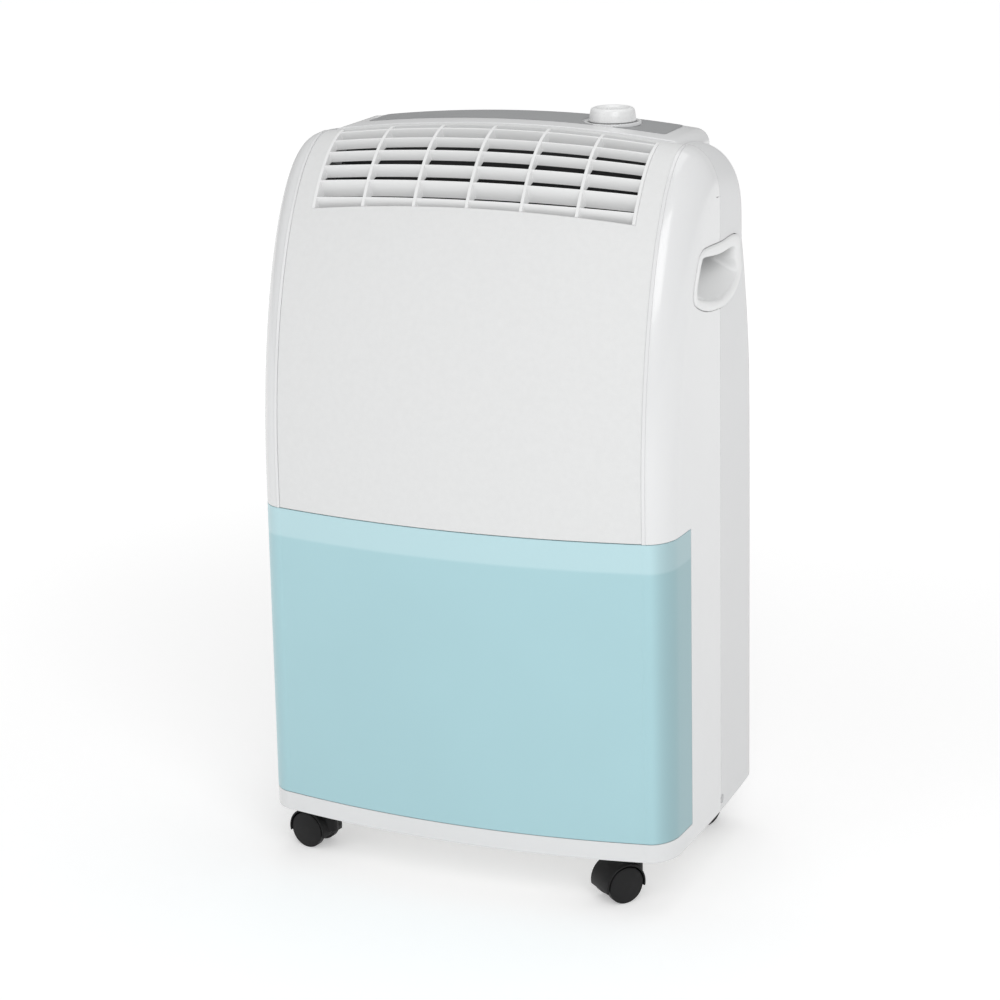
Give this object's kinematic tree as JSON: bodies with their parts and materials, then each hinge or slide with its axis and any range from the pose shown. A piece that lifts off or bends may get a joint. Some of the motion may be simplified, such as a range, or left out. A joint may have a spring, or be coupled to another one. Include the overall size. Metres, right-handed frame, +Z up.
{
  "type": "dehumidifier",
  "caption": "Upright white cabinet dehumidifier with a slatted air outlet, a pull-out pale blue water tank, side hand grips, a control knob and twin-wheel castors.",
  "frame": {"origin": "on the floor under the middle of the whole object", "axes": "+Z up, -Y towards the front with the water tank, +X to the right seen from the front"},
  "size_m": [0.356, 0.2402, 0.5938],
  "materials": {
    "casing_white": "glossy moulded white",
    "panel_white": "fine spark-eroded texture",
    "tank_blue": "frosted translucent pale blue",
    "inner_white": "plain moulded",
    "overlay_grey": "satin printed film",
    "filter_grey": "plain moulded with mesh",
    "float_foam": "expanded foam",
    "black_plastic": "moulded black",
    "screw_steel": "zinc plated",
    "cord_rubber": "matt",
    "compressor_black": "semi-gloss black paint",
    "coil_aluminium": "bare",
    "pipe_copper": "bare copper",
    "castor_black": "satin black nylon"
  },
  "bodies": {
    "body": {"base_tray": "inner_white", "front_casing": "casing_white", "front_panel": "panel_white", "outlet_grille": "casing_white", "control_console": "casing_white", "console_overlay": "overlay_grey", "humidistat_body": "black_plastic", "rear_casing": "casing_white", "intake_grille": "casing_white", "handle_cup_left": "casing_white", "handle_cup_right": "casing_white", "seam_screw_left": "screw_steel", "seam_screw_right": "screw_steel", "rear_screw_left": "screw_steel", "rear_screw_right": "screw_steel", "power_cord": "cord_rubber", "mains_plug": "black_plastic", "cord_gland": "cord_rubber", "compressor": "compressor_black", "compressor_grommet_1": "cord_rubber", "compressor_grommet_2": "cord_rubber", "compressor_grommet_3": "cord_rubber", "evaporator_coil": "coil_aluminium", "condenser_coil": "coil_aluminium", "discharge_pipe": "pipe_copper", "suction_pipe": "pipe_copper", "fan_motor": "screw_steel", "fan_shroud": "black_plastic", "drip_tray": "inner_white", "tank_switch_body": "black_plastic", "run_capacitor": "coil_aluminium", "chassis_partition": "inner_white", "castor_front_left_stem": "screw_steel", "castor_front_right_stem": "screw_steel", "castor_rear_left_stem": "screw_steel", "castor_rear_right_stem": "screw_steel"},
    "tank": {"water_tank": "tank_blue", "tank_lid": "inner_white"},
    "float": {"tank_float": "float_foam"},
    "knob": {"humidistat_knob": "casing_white"},
    "fan": {"fan_impeller": "black_plastic"},
    "filter": {"air_filter": "filter_grey"},
    "bung": {"drain_bung": "cord_rubber"},
    "plunger": {"tank_switch_plunger": "inner_white"},
    "castor_front_left": {"castor_front_left_hood": "castor_black", "castor_front_left_axle": "screw_steel"},
    "wheel_front_left_a": {"castor_front_left_wheel_a": "castor_black"},
    "wheel_front_left_b": {"castor_front_left_wheel_b": "castor_black"},
    "castor_front_right": {"castor_front_right_hood": "castor_black", "castor_front_right_axle": "screw_steel"},
    "wheel_front_right_a": {"castor_front_right_wheel_a": "castor_black"},
    "wheel_front_right_b": {"castor_front_right_wheel_b": "castor_black"},
    "castor_rear_left": {"castor_rear_left_hood": "castor_black", "castor_rear_left_axle": "screw_steel"},
    "wheel_rear_left_a": {"castor_rear_left_wheel_a": "castor_black"},
    "wheel_rear_left_b": {"castor_rear_left_wheel_b": "castor_black"},
    "castor_rear_right": {"castor_rear_right_hood": "castor_black", "castor_rear_right_axle": "screw_steel"},
    "wheel_rear_right_a": {"castor_rear_right_wheel_a": "castor_black"},
    "wheel_rear_right_b": {"castor_rear_right_wheel_b": "castor_black"}
  },
  "joints": [
    {"name": "tank_slide", "type": "slide", "parent": "body", "child": "tank", "axis": [0, -1, 0], "range_m": [0, 0.12]},
    {"name": "float_lift", "type": "hinge", "parent": "tank", "child": "float", "pos_m": [-0.12, -0.03585, 0.281], "axis": [-1, 0, 0], "range_deg": [0, 12]},
    {"name": "knob_turn", "type": "hinge", "parent": "body", "child": "knob", "pos_m": [0.075, 0.04415, 0.59], "axis": [0, 0, -1], "range_deg": [0, 270]},
    {"name": "fan_spin", "type": "hinge", "parent": "body", "child": "fan", "pos_m": [0, -0.01585, 0.415], "axis": [0, 1, 0], "continuous": true},
    {"name": "filter_lift", "type": "slide", "parent": "body", "child": "filter", "axis": [0, 0, 1], "range_m": [0, 0.2]},
    {"name": "bung_pull", "type": "slide", "parent": "body", "child": "bung", "axis": [0, 1, 0], "range_m": [0, 0.02]},
    {"name": "plunger_press", "type": "slide", "parent": "body", "child": "plunger", "axis": [0, 1, 0], "range_m": [0, 0.0015]},
    {"name": "castor_front_left_swivel", "type": "hinge", "parent": "body", "child": "castor_front_left", "pos_m": [-0.131, -0.07585, 0.025], "axis": [0, 0, 1], "continuous": true},
    {"name": "wheel_front_left_a_spin", "type": "hinge", "parent": "castor_front_left", "child": "wheel_front_left_a", "pos_m": [-0.14495, -0.07271, 0.015], "axis": [-0.2198, -0.9755, 0], "continuous": true},
    {"name": "wheel_front_left_b_spin", "type": "hinge", "parent": "castor_front_left", "child": "wheel_front_left_b", "pos_m": [-0.14495, -0.07271, 0.015], "axis": [-0.2198, -0.9755, 0], "continuous": true},
    {"name": "castor_front_right_swivel", "type": "hinge", "parent": "body", "child": "castor_front_right", "pos_m": [0.131, -0.07585, 0.025], "axis": [0, 0, 1], "continuous": true},
    {"name": "wheel_front_right_a_spin", "type": "hinge", "parent": "castor_front_right", "child": "wheel_front_right_a", "pos_m": [0.12194, -0.08692, 0.015], "axis": [0.7738, -0.6334, 0], "continuous": true},
    {"name": "wheel_front_right_b_spin", "type": "hinge", "parent": "castor_front_right", "child": "wheel_front_right_b", "pos_m": [0.12194, -0.08692, 0.015], "axis": [0.7738, -0.6334, 0], "continuous": true},
    {"name": "castor_rear_left_swivel", "type": "hinge", "parent": "body", "child": "castor_rear_left", "pos_m": [-0.131, 0.05715, 0.025], "axis": [0, 0, 1], "continuous": true},
    {"name": "wheel_rear_left_a_spin", "type": "hinge", "parent": "castor_rear_left", "child": "wheel_rear_left_a", "pos_m": [-0.1392, 0.06886, 0.015], "axis": [-0.8192, -0.5736, 0], "continuous": true},
    {"name": "wheel_rear_left_b_spin", "type": "hinge", "parent": "castor_rear_left", "child": "wheel_rear_left_b", "pos_m": [-0.1392, 0.06886, 0.015], "axis": [-0.8192, -0.5736, 0], "continuous": true},
    {"name": "castor_rear_right_swivel", "type": "hinge", "parent": "body", "child": "castor_rear_right", "pos_m": [0.131, 0.05715, 0.025], "axis": [0, 0, 1], "continuous": true},
    {"name": "wheel_rear_right_a_spin", "type": "hinge", "parent": "castor_rear_right", "child": "wheel_rear_right_a", "pos_m": [0.13815, 0.06953, 0.015], "axis": [-0.866, 0.5, 0], "continuous": true},
    {"name": "wheel_rear_right_b_spin", "type": "hinge", "parent": "castor_rear_right", "child": "wheel_rear_right_b", "pos_m": [0.13815, 0.06953, 0.015], "axis": [-0.866, 0.5, 0], "continuous": true}
  ]
}
